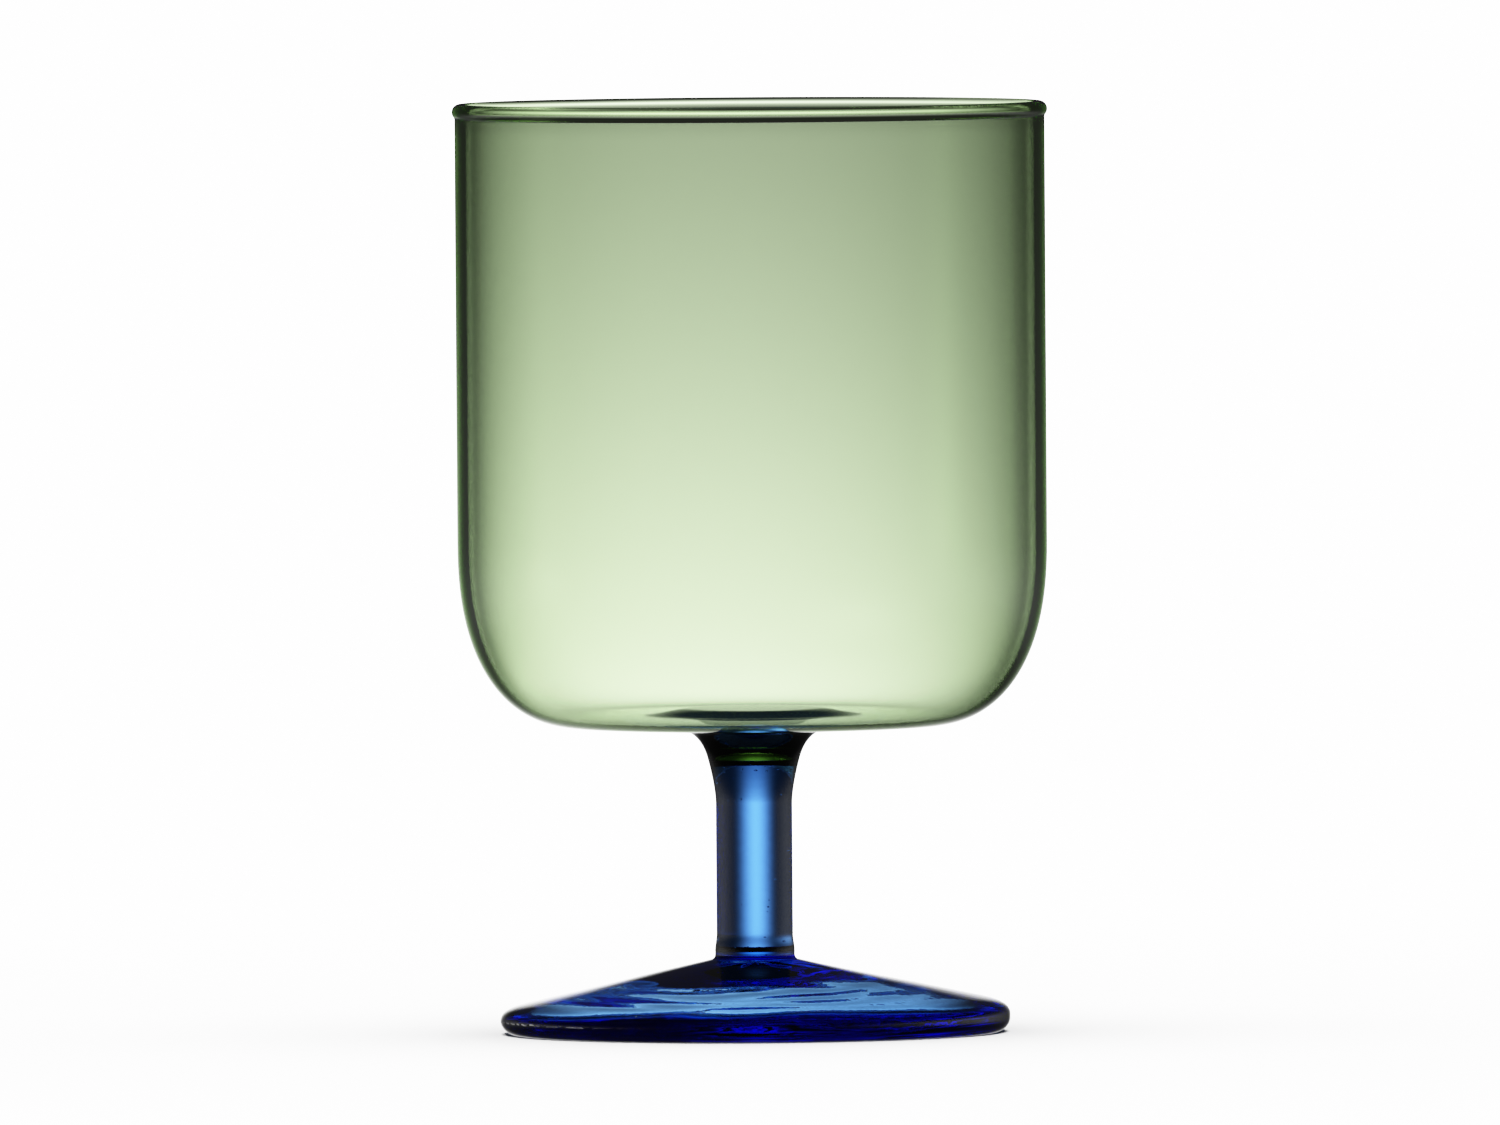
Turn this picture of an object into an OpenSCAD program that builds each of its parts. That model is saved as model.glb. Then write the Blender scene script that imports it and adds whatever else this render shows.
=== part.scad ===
// Stemmed wine tumbler in coloured glass.
// Four separately gathered pieces of glass, fused face to face while hot:
// a thin straight-sided bowl, a collar, a solid stem and a conical foot.
// Millimetres, +Z up. The origin is on the axis, in the plane the foot stands on.

/* [Overall] */
// Height from the table to the top of the rim
glass_h = 118; // [110:1:130]

/* [Bowl] */
// Outer diameter of the straight wall
bowl_d = 74.8; // [70:0.2:80]
// Thickness of the wall
wall_t = 1.4; // [1:0.05:1.4]
// Height of the bowl's underside above the table
bowl_z = 38.8; // [37:0.1:42]
// Diameter of the flat middle of the underside
bowl_flat_d = 42.8; // [38:0.2:48]
// Height of the rounded corner between the underside and the wall
corner_h = 23.7; // [16:0.1:28]
// Fullness of the rounded corner, where 2 is an ellipse
corner_power = 2.36; // [2:0.02:3]
// Thickness of the floor
floor_t = 1; // [0.8:0.1:1.6]
// Height of the low mound in the middle of the floor
mound_h = 1; // [0.2:0.1:2]
// Diameter of the mound's flat top
mound_flat_d = 16; // [4:1:18]
// Diameter of that mound
mound_d = 28; // [20:1:34]
// Thickness of the fire-polished bead around the rim
bead_d = 2.04; // [1.94:0.02:2.4]
// How far the bead stands out from the outside of the wall
bead_out = 0.34; // [0.1:0.02:0.5]
// Radius of the hollow curve that blends the bead into the wall, inside and out
bead_fillet = 0.6; // [0.3:0.05:0.9]

/* [Collar] */
// Diameter of the thin edge where the collar spreads under the bowl
flare_d = 20.8; // [16:0.2:26]
// Thickness of that edge
flare_edge_t = 0.15; // [0.1:0.05:0.4]
// Height of the collar
collar_h = 4.1; // [3.8:0.1:5]
// Diameter where the collar meets the stem
collar_d = 11.6; // [11:0.1:12.4]
// How much the radius grows per millimetre of height at that joint
taper = 0.27; // [0.2:0.01:0.3]
// Lateness of the collar's flare, where 2 is an ellipse
collar_power = 2.5; // [2:0.1:3.2]

/* [Stem] */
// Diameter of the straight stem
stem_d = 9.7; // [8:0.1:10]
// Length over which the top of the stem widens to the collar
stem_flare_h = 5.5; // [4.5:0.1:7]
// Diameter of the stem where it meets the foot
stem_foot_d = 10.12; // [10:0.02:11]
// Length over which the bottom of the stem widens to the foot
stem_toe_h = 2.2; // [1:0.1:4]
// Height of the joint between the stem and the foot above the table
stem_z = 10.4; // [10.4:0.1:12]

/* [Foot] */
// Outer diameter of the foot
foot_d = 64.7; // [60:0.1:65]
// Slope of the foot's top, in degrees
foot_slope = 12.5; // [10:0.5:12.5]
// Thickness of the rounded outer edge
edge_t = 3.8; // [3:0.1:3.8]
// Width over which the foot's top rounds off into that edge
edge_blend = 3.4; // [2.4:0.1:5]
// Radius of the fillet between the foot's boss and its top
boss_fillet = 0.6; // [0.3:0.05:0.6]
// Width of the flat ring that the foot stands on
contact_w = 1.6; // [0.6:0.1:3]
// Height of the hollow under the foot
hollow_h = 4.4; // [3:0.1:5]
// Slope of the hollow's sides, in degrees
hollow_slope = 13.5; // [10:0.5:15]
// Extra height that the hollow gains close to the ring
ring_rise = 0.7; // [0:0.1:1]

/* [Hidden] */
$fn = 96;

// Number of straight steps that stand for a quarter turn of a curve
steps = 18;

bowl_r = bowl_d / 2;
inner_r = bowl_r - wall_t;
bowl_flat_r = bowl_flat_d / 2;
floor_z = bowl_z + floor_t;
corner_z = bowl_z + corner_h;
mound_r = mound_d / 2;
mound_flat_r = mound_flat_d / 2;
mound_top = floor_z + mound_h;
bead_r = bead_d / 2;
bead_x = bowl_r + bead_out - bead_r;
bead_z = glass_h - bead_r;

collar_z = bowl_z - collar_h;
collar_r = collar_d / 2;
flare_r = flare_d / 2;
stem_r = stem_d / 2;
edge_r = edge_t / 2;
foot_r = foot_d / 2;
edge_x = foot_r - edge_r;
contact_r = edge_x - contact_w;
boss_r = stem_foot_d / 2;

// The foot's top is a cone, on a line that is tangent to the edge's circle before the edge is softened.
slope_x = edge_x + edge_r * sin(foot_slope);
slope_z = edge_r + edge_r * cos(foot_slope);
function foot_top(x) = slope_z + (slope_x - x) * tan(foot_slope);
// The pulls of the curve that rounds the cone off into the edge
edge_pull = 0.31;
edge_rise = 1.2;
pull_x = foot_r - edge_pull * edge_blend;
pull_z = edge_r + edge_rise;
// The width of the steeper part by the ring, and the height over which the hollow's sides round into its top
ring_w = 1;
hollow_blend = 0.72;
fillet_x = boss_r + boss_fillet;
fillet_z = foot_top(fillet_x) + boss_fillet / cos(foot_slope);

// The height of the hollow's side at a distance in from the ring, which is steeper close to the ring
function hollow_cone(in) = in * tan(hollow_slope) + ring_rise * (1 - exp(-in / ring_w));

// A quarter of a superellipse about (x, z), from its side (t = 0) to its end (t = 90).
function quarter(x, z, w, h, power, t) =
    [x + w * pow(cos(t), 2 / power), z + h * pow(sin(t), 2 / power)];

// An arc about (x, z) of radius r, from angle a to angle b.
function arc(x, z, r, a, b) =
    [for (i = [0 : steps]) let (t = a + (b - a) * i / steps) [x + r * cos(t), z + r * sin(t)]];

// The cubic curve from a to d, pulled by b and c.
function bezier(a, b, c, d, t) =
    pow(1 - t, 3) * a + 3 * t * pow(1 - t, 2) * b + 3 * t * t * (1 - t) * c + pow(t, 3) * d;

// The lower of a and b, with their crossing rounded over a height of k.
function soft_min(a, b, k) =
    min(a, b) - pow(max(k - abs(a - b), 0), 2) / (4 * k);

// A smooth rise from 0 to 1 as s goes from 0 to 1.
function ease(s) = (1 - cos(180 * s)) / 2;

module bowl() {
    outer = [for (i = [steps : -1 : 0])
        quarter(bowl_flat_r, corner_z, bowl_r - bowl_flat_r, -corner_h, corner_power, 90 * i / steps)];
    inner_w = inner_r - bowl_flat_r;
    inner = [for (i = [0 : steps])
        quarter(bowl_flat_r, corner_z, inner_w, floor_z - corner_z, corner_power, 90 * i / steps)];
    reach = bead_r + bead_fillet;
    outer_meet = acos((bowl_r + bead_fillet - bead_x) / reach);
    inner_meet = acos((bead_x - inner_r + bead_fillet) / reach);
    outer_z = bead_z - reach * sin(outer_meet);
    inner_z = bead_z - reach * sin(inner_meet);
    outer_fillet = arc(bowl_r + bead_fillet, outer_z, bead_fillet, 180, 180 - outer_meet);
    bead = arc(bead_x, bead_z, bead_r, -outer_meet, 180 + inner_meet);
    inner_fillet = arc(inner_r - bead_fillet, inner_z, bead_fillet, inner_meet, 0);
    mound = [for (i = [0 : steps]) let (s = i / steps)
        [mound_r + (mound_flat_r - mound_r) * s, floor_z + mound_h * ease(s)]];
    color("darkseagreen", 0.6)
        rotate_extrude()
            polygon(concat(
                [[0, bowl_z]], outer, outer_fillet, bead, inner_fillet, inner, mound, [[0, mound_top]]
            ));
}

module collar() {
    rise = collar_h - flare_edge_t;
    spread = flare_r - collar_r - taper * rise;
    curve = [for (i = [0 : steps])
        let (s = sin(90 * i / steps), flare = 1 - pow(1 - pow(s, collar_power), 1 / collar_power))
        [collar_r + taper * rise * s + spread * flare, collar_z + rise * s]];
    color("darkolivegreen")
        rotate_extrude()
            polygon(concat([[0, collar_z]], curve, [[flare_r, bowl_z], [0, bowl_z]]));
}

module stem() {
    power = taper * stem_flare_h / (collar_r - stem_r);
    toe = [for (i = [0 : steps]) let (s = i / steps)
        [boss_r + (stem_r - boss_r) * ease(s), stem_z + stem_toe_h * s]];
    flare = [for (i = [0 : steps]) let (s = i / steps)
        [stem_r + (collar_r - stem_r) * pow(s, power), collar_z - stem_flare_h * (1 - s)]];
    color("steelblue")
        rotate_extrude()
            polygon(concat([[0, stem_z]], toe, flare, [[0, collar_z]]));
}

module foot() {
    edge = arc(edge_x, edge_r, edge_r, -90, 0);
    start_x = foot_r - edge_blend;
    tip = [foot_r, edge_r];
    start = [start_x, foot_top(start_x)];
    shoulder = [for (i = [1 : steps])
        bezier(tip, [foot_r, pull_z], [pull_x, foot_top(pull_x)], start, i / steps)];
    fillet = arc(fillet_x, fillet_z, boss_fillet, 270 - foot_slope, 180);
    hollow = [for (i = [0 : 2 * steps]) let (in = contact_r * (1 - i / (2 * steps)))
        [contact_r - in, soft_min(hollow_cone(in), hollow_h, hollow_blend)]];
    color("midnightblue")
        rotate_extrude()
            polygon(concat(hollow, edge, shoulder, fillet, [[boss_r, stem_z], [0, stem_z]]));
}

bowl();
collar();
stem();
foot();
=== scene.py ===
"""Looks for the stemmed wine glass: four pieces of coloured glass fused face to face, on a pale floor."""

import math
import random

import bpy
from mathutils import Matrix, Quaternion, Vector, noise


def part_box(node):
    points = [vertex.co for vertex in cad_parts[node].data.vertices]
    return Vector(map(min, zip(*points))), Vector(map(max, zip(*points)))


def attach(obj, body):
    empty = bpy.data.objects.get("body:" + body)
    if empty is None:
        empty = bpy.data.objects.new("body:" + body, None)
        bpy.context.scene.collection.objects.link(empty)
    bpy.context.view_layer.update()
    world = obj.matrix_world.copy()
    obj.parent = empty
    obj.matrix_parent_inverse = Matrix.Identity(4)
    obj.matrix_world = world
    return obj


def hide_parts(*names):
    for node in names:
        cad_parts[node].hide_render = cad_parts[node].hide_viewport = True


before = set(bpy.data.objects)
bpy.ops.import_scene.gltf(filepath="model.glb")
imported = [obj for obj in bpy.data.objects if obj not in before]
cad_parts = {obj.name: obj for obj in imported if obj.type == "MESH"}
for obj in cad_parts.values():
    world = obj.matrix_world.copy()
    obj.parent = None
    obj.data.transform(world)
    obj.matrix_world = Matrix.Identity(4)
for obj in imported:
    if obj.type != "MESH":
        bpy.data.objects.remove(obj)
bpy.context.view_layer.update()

MM = 0.001
AROUND = 256  # steps round the axis of every piece

# Sizes that the CAD boxes don't give, in metres, as in part.scad.
WALL = 1.4 * MM
FLOOR_T = 1.0 * MM
CORNER_H = 23.7 * MM
CORNER_POWER = 2.36
FLAT_R = 21.4 * MM
MOUND_H = 1.0 * MM
MOUND_R = 14.0 * MM
MOUND_FLAT_R = 8.0 * MM
BEAD_R = 1.02 * MM
BEAD_OUT = 0.34 * MM
BEAD_FILLET = 0.6 * MM
COLLAR_R = 5.8 * MM
COLLAR_POWER = 2.5
TAPER = 0.27
FLARE_EDGE = 0.15 * MM
STEM_R = 4.85 * MM
STEM_FLARE_H = 5.5 * MM
STEM_TOE_H = 2.2 * MM
BOSS_R = 5.06 * MM
BOSS_FILLET = 0.6 * MM
FOOT_SLOPE = math.radians(12.5)
EDGE_R = 1.9 * MM
EDGE_BLEND = 3.4 * MM
EDGE_PULL = 0.31 * EDGE_BLEND
EDGE_RISE = 1.2 * MM
CONTACT_W = 1.6 * MM
HOLLOW_H = 4.4 * MM
HOLLOW_SLOPE = math.radians(13.5)
HOLLOW_BLEND = 0.72 * MM
RING_RISE = 0.7 * MM
RING_W = 1.0 * MM

# Two fused faces stand this far apart, so that each piece stays a closed shape of its own.
FUSE_GAP = 0.01 * MM

bowl_low, bowl_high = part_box("bowl")
collar_low, collar_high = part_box("collar")
stem_low, stem_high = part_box("stem")
foot_low, foot_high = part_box("foot")


# ---------------------------------------------------------------- profiles


def ease(s):
    """A smooth rise from 0 to 1."""
    return (1 - math.cos(math.pi * s)) / 2


def arc(x, z, r, start, end, n):
    """Points on an arc about (x, z), with its angles in radians."""
    turn = [start + (end - start) * i / n for i in range(n + 1)]
    return [(x + r * math.cos(t), z + r * math.sin(t)) for t in turn]


def quarter(x, z, w, h, power, n):
    """A quarter of a superellipse, from its side to its end, in even steps of angle."""
    points = []
    for i in range(n + 1):
        t = math.pi / 2 * i / n
        c, s = max(math.cos(t), 0.0), max(math.sin(t), 0.0)
        points.append((x + w * c ** (2 / power), z + h * s ** (2 / power)))
    return points


def line(a, b, n):
    """Points from a to b, without either end."""
    return [(a[0] + (b[0] - a[0]) * i / n, a[1] + (b[1] - a[1]) * i / n) for i in range(1, n)]


def bezier(a, b, c, d, n):
    """Points on the cubic curve from a to d, pulled by b and c."""
    points = []
    for i in range(n + 1):
        t = i / n
        weights = ((1 - t) ** 3, 3 * t * (1 - t) ** 2, 3 * t * t * (1 - t), t ** 3)
        points.append(tuple(sum(w * p[k] for w, p in zip(weights, (a, b, c, d))) for k in (0, 1)))
    return points


def bowl_profile():
    """The bowl's skin, from the collar's edge, up the outside, over the rim and down to the axis inside."""
    under, rim = bowl_low.z, bowl_high.z
    wall_r = bowl_high.x - BEAD_OUT
    inner_r = wall_r - WALL
    corner_z = under + CORNER_H
    floor = under + FLOOR_T
    bead_x, bead_z = bowl_high.x - BEAD_R, rim - BEAD_R
    reach = BEAD_R + BEAD_FILLET
    outer_meet = math.acos((wall_r + BEAD_FILLET - bead_x) / reach)
    inner_meet = math.acos((bead_x - inner_r + BEAD_FILLET) / reach)
    outer_z, inner_z = bead_z - reach * math.sin(outer_meet), bead_z - reach * math.sin(inner_meet)
    corner_out = quarter(FLAT_R, corner_z, wall_r - FLAT_R, under - corner_z, CORNER_POWER, 40)[::-1]
    corner_in = quarter(FLAT_R, corner_z, inner_r - FLAT_R, floor - corner_z, CORNER_POWER, 40)
    bead = arc(wall_r + BEAD_FILLET, outer_z, BEAD_FILLET, math.pi, math.pi - outer_meet, 10)
    bead += arc(bead_x, bead_z, BEAD_R, -outer_meet, math.pi + inner_meet, 40)[1:]
    bead += arc(inner_r - BEAD_FILLET, inner_z, BEAD_FILLET, inner_meet, 0, 10)[1:]
    flat_out = line((collar_high.x, under), corner_out[0], 8)
    wall_out = line(corner_out[-1], bead[0], 24)
    wall_in = line(bead[-1], corner_in[0], 24)
    flat_in = line(corner_in[-1], (MOUND_R, floor), 6)
    narrowing = MOUND_FLAT_R - MOUND_R
    mound = [(MOUND_R + narrowing * i / 24, floor + MOUND_H * ease(i / 24)) for i in range(25)]
    middle = (0, floor + MOUND_H)
    mound += line(mound[-1], middle, 8) + [middle]
    return flat_out + corner_out + wall_out + bead + wall_in + corner_in + flat_in + mound


def collar_profile():
    """The collar's outer skin, from the stem's joint up to its thin edge under the bowl."""
    low, rise = collar_low.z, collar_high.z - collar_low.z - FLARE_EDGE
    spread = collar_high.x - COLLAR_R - TAPER * rise
    points = []
    for i in range(49):
        s = math.sin(math.pi / 2 * i / 48)
        flare = 1 - max(1 - s ** COLLAR_POWER, 0.0) ** (1 / COLLAR_POWER)
        points.append((COLLAR_R + TAPER * rise * s + spread * flare, low + rise * s))
    return points


def stem_profile():
    """The stem's outer skin, from the foot's joint up to the collar's."""
    low, high = stem_low.z, stem_high.z
    toe = [(BOSS_R + (STEM_R - BOSS_R) * ease(i / 16), low + STEM_TOE_H * i / 16) for i in range(17)]
    power = TAPER * STEM_FLARE_H / (COLLAR_R - STEM_R)
    spread = COLLAR_R - STEM_R
    flare = [(STEM_R + spread * (i / 24) ** power, high - STEM_FLARE_H * (1 - i / 24)) for i in range(25)]
    return toe + line(toe[-1], flare[0], 30) + flare


def hollow_profile(contact_r):
    """The hollow under the foot: a flat-topped cone with a soft shoulder."""
    points = []
    for i in range(81):
        r = contact_r * i / 80
        away = contact_r - r
        cone = away * math.tan(HOLLOW_SLOPE) + RING_RISE * (1 - math.exp(-away / RING_W))
        near = max(HOLLOW_BLEND - abs(cone - HOLLOW_H), 0)
        points.append((r, min(cone, HOLLOW_H) - near ** 2 / (4 * HOLLOW_BLEND)))
    return points


def foot_profile():
    """The foot's section, from the axis in its hollow, round the edge and up to the stem's joint."""
    edge_x = foot_high.x - EDGE_R
    contact_r = edge_x - CONTACT_W
    slope_x = edge_x + EDGE_R * math.sin(FOOT_SLOPE)
    slope_z = EDGE_R + EDGE_R * math.cos(FOOT_SLOPE)

    def top(x):
        return slope_z + (slope_x - x) * math.tan(FOOT_SLOPE)

    fillet_x = BOSS_R + BOSS_FILLET
    fillet_z = top(fillet_x) + BOSS_FILLET / math.cos(FOOT_SLOPE)
    hollow = hollow_profile(contact_r)
    tip_x, start_x, pull_x = foot_high.x, foot_high.x - EDGE_BLEND, foot_high.x - EDGE_PULL
    edge = arc(edge_x, EDGE_R, EDGE_R, -math.pi / 2, 0, 24)
    tip_pull, top_pull = (tip_x, EDGE_R + EDGE_RISE), (pull_x, top(pull_x))
    edge += bezier((tip_x, EDGE_R), tip_pull, top_pull, (start_x, top(start_x)), 32)[1:]
    fillet = arc(fillet_x, fillet_z, BOSS_FILLET, 1.5 * math.pi - FOOT_SLOPE, math.pi, 16)
    return hollow + line(hollow[-1], edge[0], 4) + edge + line(edge[-1], fillet[0], 60) + fillet


# ---------------------------------------------------------------- meshes


def face_points(r, z, inward=True, n=10):
    """Points across a flat joint face, from its edge to the axis or the other way."""
    points = [(r * (1 - i / n), z) for i in range(1, n + 1)]
    return points if inward else points[::-1]


def seed_mesh(centre, r, up=6, around=10):
    """The wall of a tiny bubble in the glass: its corners, and its faces, which point into the bubble."""
    corners, faces = [centre + Vector((0, 0, r))], []
    for i in range(1, up):
        tilt = math.pi * i / up
        for k in range(around):
            turn = math.tau * k / around
            wide = r * math.sin(tilt)
            spoke = Vector((wide * math.cos(turn), wide * math.sin(turn), r * math.cos(tilt)))
            corners.append(centre + spoke)
    bottom = len(corners)
    corners.append(centre - Vector((0, 0, r)))
    for k in range(around):
        j = (k + 1) % around
        faces.append((0, 1 + j, 1 + k))
        for a in range(1, bottom - around, around):
            b = a + around
            faces.append((a + k, a + j, b + j, b + k))
        faces.append((bottom - around + k, bottom - around + j, bottom))
    return corners, faces


def seeds(count, reach, low, high, sizes, draw):
    """The middles and radii of bubbles strewn in a cylinder about the axis."""
    found = []
    for _ in range(count):
        turn, r = draw.uniform(0, math.tau), reach * math.sqrt(draw.uniform(0, 1))
        centre = Vector((r * math.cos(turn), r * math.sin(turn), draw.uniform(low, high)))
        found.append((centre, draw.uniform(*sizes)))
    return found


def lathe(name, section, skins, materials, shape=None, bubbles=()):
    """A closed mesh turned about the axis, from a list of (r, z). skins tells joint faces from the skin."""
    verts, rows = [], []
    for r, z in section:
        if r < 1e-9:
            rows.append([len(verts)])
            verts.append(Vector((0, 0, z)))
            continue
        rows.append(list(range(len(verts), len(verts) + AROUND)))
        for k in range(AROUND):
            turn = math.tau * k / AROUND
            verts.append(Vector((r * math.cos(turn), r * math.sin(turn), z)))
    if shape:
        verts = [shape(v) for v in verts]
    faces, slots = [], []
    for i, (a, b) in enumerate(zip(rows, rows[1:])):
        for k in range(AROUND):
            j = (k + 1) % AROUND
            if len(a) == 1 and len(b) == 1:
                continue
            if len(a) == 1:
                faces.append((a[0], b[j], b[k]))
            elif len(b) == 1:
                faces.append((a[k], a[j], b[0]))
            else:
                faces.append((a[k], a[j], b[j], b[k]))
            slots.append(skins[i])
    for centre, r in bubbles:
        corners, walls = seed_mesh(centre, r)
        faces += [tuple(len(verts) + corner for corner in wall) for wall in walls]
        slots += [SKIN] * len(walls)
        verts += corners
    mesh = bpy.data.meshes.new(name)
    mesh.from_pydata(verts, [], faces)
    mesh.validate()
    mesh.polygons.foreach_set("material_index", slots)
    mesh.polygons.foreach_set("use_smooth", [True] * len(slots))
    for material in materials:
        mesh.materials.append(material)
    mesh.set_sharp_from_angle(angle=math.radians(40))
    mesh.update()
    piece = bpy.data.objects.new(name, mesh)
    bpy.context.scene.collection.objects.link(piece)
    return piece


# ---------------------------------------------------------------- materials


GLASS_IOR = 1.47


def glass(name, colour, density, ior=GLASS_IOR, bump=None):
    """Clear glass that is coloured by its thickness. bump is the height and length of its waves."""
    material = bpy.data.materials.new(name)
    material.use_nodes = True
    nodes, links = material.node_tree.nodes, material.node_tree.links
    nodes.clear()
    out = nodes.new("ShaderNodeOutputMaterial")
    shader = nodes.new("ShaderNodeBsdfPrincipled")
    shader.inputs["Base Color"].default_value = (1, 1, 1, 1)
    shader.inputs["Transmission Weight"].default_value = 1
    shader.inputs["IOR"].default_value = ior
    shader.inputs["Roughness"].default_value = 0
    links.new(shader.outputs[0], out.inputs["Surface"])
    if bump:
        height, length = bump
        where = nodes.new("ShaderNodeTexCoord")
        waves = nodes.new("ShaderNodeTexNoise")
        waves.inputs["Scale"].default_value = 1 / length
        waves.inputs["Detail"].default_value = 2
        relief = nodes.new("ShaderNodeBump")
        relief.inputs["Distance"].default_value = height
        links.new(where.outputs["Object"], waves.inputs["Vector"])
        links.new(waves.outputs["Fac"], relief.inputs["Height"])
        links.new(relief.outputs["Normal"], shader.inputs["Normal"])
    absorb = nodes.new("ShaderNodeVolumeAbsorption")
    absorb.inputs["Color"].default_value = (*colour, 1)
    absorb.inputs["Density"].default_value = density
    links.new(absorb.outputs[0], out.inputs["Volume"])
    return material


def absorbing(per_mm):
    """The colour and density of glass that absorbs this much red, green and blue per millimetre."""
    density = max(per_mm) / MM
    return tuple(1 - a / max(per_mm) for a in per_mm), density


# Glass against glass of the same kind bends no light, so the fused faces have an index of 1.
GREEN = absorbing((0.165, 0.068, 0.265))
AZURE = absorbing((0.265, 0.130, 0.005))
COBALT = absorbing((0.45, 0.21, 0.018))

green_skin = glass("green_glass", *GREEN, bump=(0.003 * MM, 8 * MM))
green_joint = glass("green_fused_face", *GREEN, ior=1.0)
azure_skin = glass("azure_glass", *AZURE, bump=(0.010 * MM, 1.0 * MM))
azure_joint = glass("azure_fused_face", *AZURE, ior=1.0)
cobalt_skin = glass("cobalt_glass", *COBALT, bump=(0.010 * MM, 1.6 * MM))
cobalt_joint = glass("cobalt_fused_face", *COBALT, ior=1.0)

SKIN, JOINT = 0, 1

# The bubbles in the glass: their least and greatest radius, how far from the axis they lie, how far they keep
# from a joint, and how deep the dense clouds by the collar and under the stem are.
SEED_SIZES = (0.05 * MM, 0.13 * MM)
SEED_REACH = 4.6 * MM
SEED_SKIP = 0.3 * MM
SEAM_CLOUD = 1.3 * MM
BOSS_CLOUD = 2.4 * MM

# The sparse bubbles along the stem lie closer to the axis, and stop this far under the collar.
STEM_SEED_REACH = 4.4 * MM
STEM_SEED_SKIP = 1.5 * MM


def make_bowl():
    skin = bowl_profile()
    edge = (collar_high.x, bowl_low.z + FUSE_GAP / 2)
    joint = face_points(edge[0], edge[1], inward=False) + [edge]
    section = joint + skin
    skins = [JOINT] * (len(joint) - 1) + [SKIN] * len(skin)
    return lathe("bowl", section, skins, [green_skin, green_joint])


def make_collar():
    skin = collar_profile()
    low, high = collar_low.z + FUSE_GAP / 2, collar_high.z - FUSE_GAP / 2
    bottom = face_points(COLLAR_R, low, inward=False) + [(COLLAR_R, low)]
    top = [(collar_high.x, high)] + face_points(collar_high.x, high)
    section = bottom + skin[1:] + top
    skins = [JOINT] * (len(bottom) - 1) + [SKIN] * len(skin) + [JOINT] * (len(top) - 1)
    return lathe("collar", section, skins, [green_skin, green_joint])


def make_stem():
    skin = stem_profile()
    low, high = stem_low.z + FUSE_GAP / 2, stem_high.z - FUSE_GAP / 2
    bottom = face_points(BOSS_R, low, inward=False) + [(BOSS_R, low)]
    top = [(COLLAR_R, high)] + face_points(COLLAR_R, high)
    section = bottom + skin[1:-1] + top
    skins = [JOINT] * (len(bottom) - 1) + [SKIN] * (len(skin) - 1) + [JOINT] * (len(top) - 1)
    draw = random.Random(7)
    bubbles = seeds(16, SEED_REACH, high - SEAM_CLOUD, high - SEED_SKIP, SEED_SIZES, draw)
    bubbles += seeds(22, STEM_SEED_REACH, low + SEED_SKIP, high - STEM_SEED_SKIP, SEED_SIZES, draw)
    return lathe("stem", section, skins, [azure_skin, azure_joint], bubbles=bubbles)


# The unevenness under the foot: the height and length of its broad swell, and the height, width and
# changefulness of the rings round the axis that the spinning of the hot foot left.
SWELL = (0.45 * MM, 20 * MM)
RINGS = ((0.20 * MM, 6.0 * MM, 1.5), (0.08 * MM, 2.0 * MM, 2.5))
RIPPLE_PLACE = Vector((5.3, 12.6, 3.5))
RIPPLE_FADE = 1.5 * MM  # the ripples die out over this width before the ring that the foot stands on
EDGE_TILT = 0.3 * MM
TILT_FROM, TILT_OVER = 8 * MM, 14 * MM  # where the tilt starts, and the width it grows over


def rippled(v):
    """The unevenness of a hand-made foot: a rippled underside, and a top that is higher on one side."""
    r = math.hypot(v.x, v.y)
    between = EDGE_R + 0.9 * (foot_high.x - r) * math.tan(FOOT_SLOPE)
    if v.z < between:
        height, length = SWELL
        rise = height * noise.noise(Vector((v.x, v.y, 0.0)) / length + RIPPLE_PLACE)
        turn = math.atan2(v.y, v.x)
        for height, width, change in RINGS:
            where = Vector((r / width, change * math.cos(turn), change * math.sin(turn)))
            rise += height * noise.noise(where + RIPPLE_PLACE)
        inside = foot_high.x - EDGE_R - CONTACT_W
        fade = ease(min(max((inside - r) / RIPPLE_FADE, 0.0), 1.0))
        return v + Vector((0, 0, rise * fade))
    outer = ease(min(max((r - TILT_FROM) / TILT_OVER, 0.0), 1.0))
    return v + Vector((0, 0, EDGE_TILT * outer * v.x / foot_high.x))


def make_foot():
    skin = foot_profile()
    high = foot_high.z - FUSE_GAP / 2
    top = [(BOSS_R, high)] + face_points(BOSS_R, high)
    section = skin + top
    skins = [SKIN] * len(skin) + [JOINT] * (len(top) - 1)
    draw = random.Random(11)
    bubbles = seeds(26, SEED_REACH, high - BOSS_CLOUD, high - SEED_SKIP, SEED_SIZES, draw)
    return lathe("foot", section, skins, [cobalt_skin, cobalt_joint], shape=rippled, bubbles=bubbles)


for node, maker in {"bowl": make_bowl, "collar": make_collar, "stem": make_stem, "foot": make_foot}.items():
    piece = maker()
    piece.name = f"{node}_glass"
    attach(piece, "root")
    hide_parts(node)


# ---------------------------------------------------------------- stage

CUP_R = 0.45  # the light cup's radius
WHITE = 6.0  # the white surroundings' strength

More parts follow.
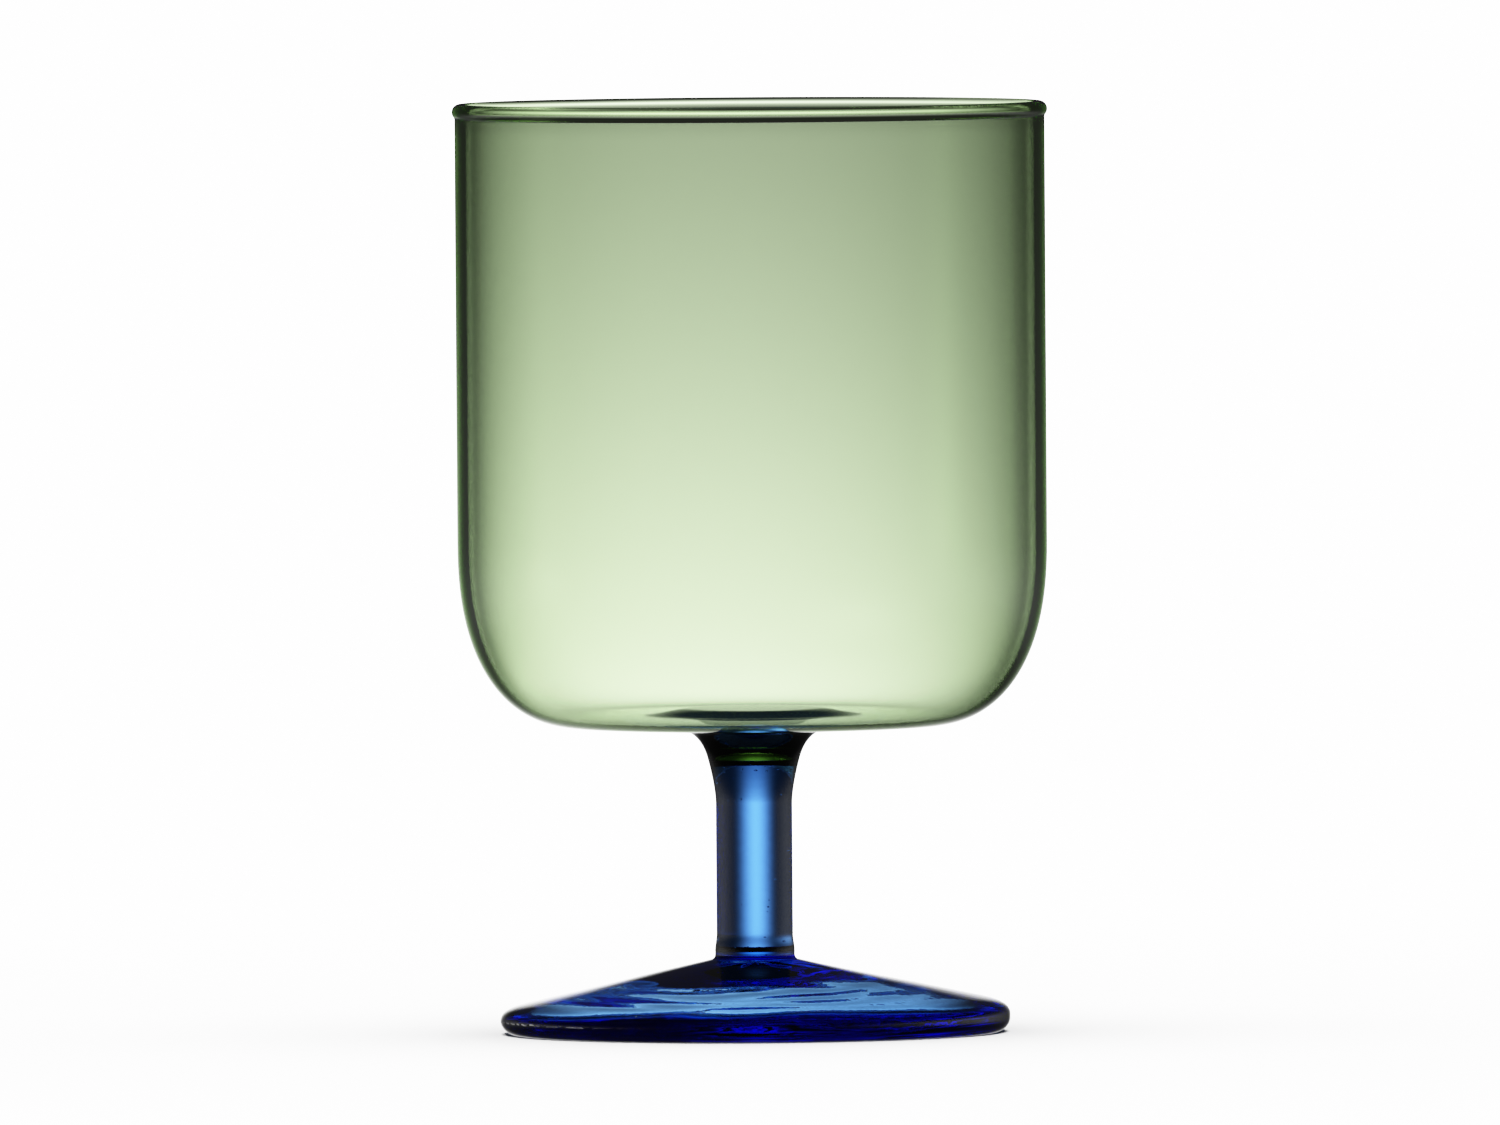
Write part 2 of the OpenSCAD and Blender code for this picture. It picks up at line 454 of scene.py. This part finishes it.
# Soft lights on the cup: azimuth in degrees from +X, height, half-width sideways and upwards, strength,
# and whether polished surfaces mirror it too. The low lights are only seen through the glass, and the
# strips are only seen as mirror images in it.
SPOTS = [
    (91.6, 0.010, 0.056, 0.055, 3.45, True),
    (181.6, 0.010, 0.056, 0.052, 3.5, False),
]
LOW_SPOTS = [
    (135, -0.170, 0.110, 0.050, 3.5),
    (-45, -0.100, 0.110, 0.045, 3.5),
]
MIRROR_STRIPS = [
    (12, 0.0, 0.20, 0.045, 0.6),
    (168, 0.0, 0.20, 0.045, 0.6),
]
BASE = 0.02  # the cup's own faint light
GLOW = 0.12  # what refracted rays see of the pale floor, straight below

# Between these two heights a light fades from full to nothing.
SPOT_TOP = (0.13, 0.22)
SPOT_BOTTOM = (-0.08, -0.20)
MIRROR_TOP = (0.04, 0.10)
GLOW_TOP = (-0.40, -0.22)

LAMP_W = 90  # the power of the soft lamp over the floor
LAMP_SIZE = 1.2
LAMP_Z = 1.2

FLOOR_R = 0.44
FLOOR_FADE = (0.06, 0.43)  # the distances from the axis between which the floor melts into the white

CAMERA_AWAY = 4.655
CAMERA_HEIGHT = 0.203
CAMERA_AIM = Vector((-0.0003, 0, 0.05965))
CAMERA_ROLL = math.radians(0.38)
VIEW_WIDTH = 0.19005  # what the picture's width spans at the glass


def math_node(nodes, links, operation, a, b=None):
    node = nodes.new("ShaderNodeMath")
    node.operation = operation
    for i, value in enumerate((a, b)):
        if value is None:
            continue
        if isinstance(value, (int, float)):
            node.inputs[i].default_value = value
        else:
            links.new(value, node.inputs[i])
    return node.outputs[0]


def make_floor():
    """A pale floor, which melts into the white surroundings before it reaches the light cup."""
    mesh = bpy.data.meshes.new("floor")
    turns = [math.tau * k / 96 for k in range(96)]
    ring = [(FLOOR_R * math.cos(turn), FLOOR_R * math.sin(turn), 0) for turn in turns]
    mesh.from_pydata(ring, [], [tuple(range(96))])
    floor = bpy.data.objects.new("floor", mesh)
    bpy.context.scene.collection.objects.link(floor)
    material = bpy.data.materials.new("pale_floor")
    material.use_nodes = True
    nodes, links = material.node_tree.nodes, material.node_tree.links
    nodes.clear()
    out = nodes.new("ShaderNodeOutputMaterial")
    diffuse = nodes.new("ShaderNodeBsdfDiffuse")
    diffuse.inputs["Color"].default_value = (0.82, 0.82, 0.82, 1)
    clear = nodes.new("ShaderNodeBsdfTransparent")
    mix = nodes.new("ShaderNodeMixShader")
    where = nodes.new("ShaderNodeTexCoord")
    far = nodes.new("ShaderNodeVectorMath")
    far.operation = "LENGTH"
    fade = nodes.new("ShaderNodeMapRange")
    fade.interpolation_type = "SMOOTHSTEP"
    fade.inputs["From Min"].default_value = FLOOR_FADE[0]
    fade.inputs["From Max"].default_value = FLOOR_FADE[1]
    links.new(where.outputs["Object"], far.inputs[0])
    links.new(far.outputs["Value"], fade.inputs["Value"])
    links.new(fade.outputs["Result"], mix.inputs["Fac"])
    links.new(diffuse.outputs[0], mix.inputs[1])
    links.new(clear.outputs[0], mix.inputs[2])
    links.new(mix.outputs[0], out.inputs["Surface"])
    mesh.materials.append(material)
    floor.visible_glossy = False
    floor.visible_transmission = False


def make_cup():
    """A round cup of soft light about the glass, which only the glass and the floor see."""
    mesh = bpy.data.meshes.new("light_cup")
    around, up = 96, 48
    verts, faces = [], []
    for i in range(up + 1):
        tilt = math.pi * (i / up - 0.5)
        for k in range(around):
            turn = math.tau * k / around
            verts.append((
                CUP_R * math.cos(tilt) * math.cos(turn),
                CUP_R * math.cos(tilt) * math.sin(turn),
                CUP_R * math.sin(tilt),
            ))
    for i in range(up):
        for k in range(around):
            j = (k + 1) % around
            faces.append((i * around + k, i * around + j, (i + 1) * around + j, (i + 1) * around + k))
    mesh.from_pydata(verts, [], faces)
    mesh.polygons.foreach_set("use_smooth", [True] * len(faces))
    cup = bpy.data.objects.new("light_cup", mesh)
    bpy.context.scene.collection.objects.link(cup)
    material = bpy.data.materials.new("soft_light")
    material.use_nodes = True
    nodes, links = material.node_tree.nodes, material.node_tree.links
    nodes.clear()
    out = nodes.new("ShaderNodeOutputMaterial")
    emit = nodes.new("ShaderNodeEmission")
    where = nodes.new("ShaderNodeTexCoord")
    split = nodes.new("ShaderNodeSeparateXYZ")
    links.new(where.outputs["Object"], split.inputs[0])

    def op(operation, a, b=None):
        return math_node(nodes, links, operation, a, b)

    def lobe(azimuth, height, wide, tall):
        """The square of the distance from the middle of a light, in half-widths: sideways and upwards."""
        turn = math.radians(azimuth)
        along = op("ADD", op("MULTIPLY", split.outputs["X"], math.cos(turn)),
                   op("MULTIPLY", split.outputs["Y"], math.sin(turn)))
        across = op("ADD", op("MULTIPLY", split.outputs["X"], -math.sin(turn)),
                    op("MULTIPLY", split.outputs["Y"], math.cos(turn)))
        a = op("DIVIDE", op("MULTIPLY", op("ARCTAN2", across, along), CUP_R), wide)
        b = op("DIVIDE", op("SUBTRACT", split.outputs["Z"], height), tall)
        return op("MULTIPLY", a, a), op("MULTIPLY", b, b)

    def fade(start, end):
        """1 at the height start, and 0 at the height end and beyond."""
        ramp = nodes.new("ShaderNodeMapRange")
        ramp.interpolation_type = "SMOOTHSTEP"
        ramp.inputs["From Min"].default_value = end
        ramp.inputs["From Max"].default_value = start
        links.new(split.outputs["Z"], ramp.inputs["Value"])
        return ramp.outputs["Result"]

    path = nodes.new("ShaderNodeLightPath")
    refracted = path.outputs["Is Transmission Ray"]
    mirrored_ray = op("MULTIPLY", path.outputs["Is Glossy Ray"], op("SUBTRACT", 1, refracted))
    through = op("SUBTRACT", 1, mirrored_ray)
    window = op("MULTIPLY", fade(*SPOT_TOP), fade(*SPOT_BOTTOM))
    window = op("ADD", op("MULTIPLY", window, through), op("MULTIPLY", fade(*MIRROR_TOP), mirrored_ray))
    glow = op("MULTIPLY", op("MULTIPLY", fade(*GLOW_TOP), GLOW), refracted)
    total = op("ADD", glow, BASE)
    for azimuth, height, wide, tall, power, mirrored in SPOTS:
        a, b = lobe(azimuth, height, wide, tall)
        light = op("DIVIDE", op("EXPONENT", op("MULTIPLY", a, -0.5)), op("ADD", b, 1))
        light = op("MULTIPLY", light, op("MULTIPLY", window, power))
        if not mirrored:
            light = op("MULTIPLY", light, through)
        total = op("ADD", light, total)
    for azimuth, height, wide, tall, power in LOW_SPOTS:
        a, b = lobe(azimuth, height, wide, tall)
        light = op("EXPONENT", op("MULTIPLY", op("ADD", a, b), -0.5))
        total = op("ADD", op("MULTIPLY", op("MULTIPLY", light, power), through), total)
    for azimuth, height, wide, tall, power in MIRROR_STRIPS:
        a, b = lobe(azimuth, height, wide, tall)
        light = op("EXPONENT", op("MULTIPLY", op("ADD", a, b), -0.5))
        total = op("ADD", op("MULTIPLY", op("MULTIPLY", light, power), mirrored_ray), total)
    links.new(total, emit.inputs["Strength"])
    links.new(emit.outputs[0], out.inputs["Surface"])
    mesh.materials.append(material)
    cup.visible_camera = False
    cup.visible_shadow = False


def make_world():
    world = bpy.data.worlds.new("studio")
    bpy.context.scene.world = world
    world.use_nodes = True
    nodes, links = world.node_tree.nodes, world.node_tree.links
    nodes.clear()
    out = nodes.new("ShaderNodeOutputWorld")
    white = nodes.new("ShaderNodeBackground")
    white.inputs["Strength"].default_value = WHITE
    links.new(white.outputs[0], out.inputs["Surface"])


def make_lamp():
    lamp = bpy.data.lights.new("top_softbox", "AREA")
    lamp.shape = "DISK"
    lamp.size = LAMP_SIZE
    lamp.energy = LAMP_W
    light = bpy.data.objects.new("top_softbox", lamp)
    light.location = (0, 0, LAMP_Z)
    light.visible_camera = False
    light.visible_glossy = False
    light.visible_transmission = False
    bpy.context.scene.collection.objects.link(light)


def make_camera():
    """A long lens a little above the rim, rolled by a trace."""
    cam = bpy.data.cameras.new("camera")
    cam.sensor_width = 36
    cam.lens = cam.sensor_width * CAMERA_AWAY / VIEW_WIDTH
    cam.clip_start, cam.clip_end = 0.1, 50
    camera = bpy.data.objects.new("camera", cam)
    camera.location = (CAMERA_AIM.x, -CAMERA_AWAY, CAMERA_HEIGHT)
    look = (CAMERA_AIM - camera.location).to_track_quat("-Z", "Y")
    camera.rotation_mode = "QUATERNION"
    camera.rotation_quaternion = look @ Quaternion((0, 0, 1), -CAMERA_ROLL)
    bpy.context.scene.collection.objects.link(camera)
    bpy.context.scene.camera = camera


BRIGHTEST = 8  # light above this strength is shown as white


def set_tones():
    """A photographic shoulder: each channel rolls off towards white as 1 - exp(-x)."""
    view = bpy.context.scene.view_settings
    view.view_transform = "Standard"
    view.look = "None"
    view.use_curve_mapping = True
    curves = view.curve_mapping
    curves.use_clip = False
    curves.clip_max_x = BRIGHTEST
    curve = curves.curves[3]
    curve.points[0].location = (0, 0)
    curve.points[1].location = (BRIGHTEST, 1 - math.exp(-BRIGHTEST))
    for i in range(1, 24):
        x = BRIGHTEST * (i / 24) ** 2
        curve.points.new(x, 1 - math.exp(-x))
    curves.update()


make_floor()
make_cup()
make_world()
make_lamp()
make_camera()
set_tones()

# Light crosses four glass faces in the bowl's walls, and turns back and forth more often inside the foot.
BOUNCES = 24
cycles = bpy.context.scene.cycles
cycles.max_bounces = BOUNCES
cycles.transmission_bounces = BOUNCES
cycles.glossy_bounces = BOUNCES
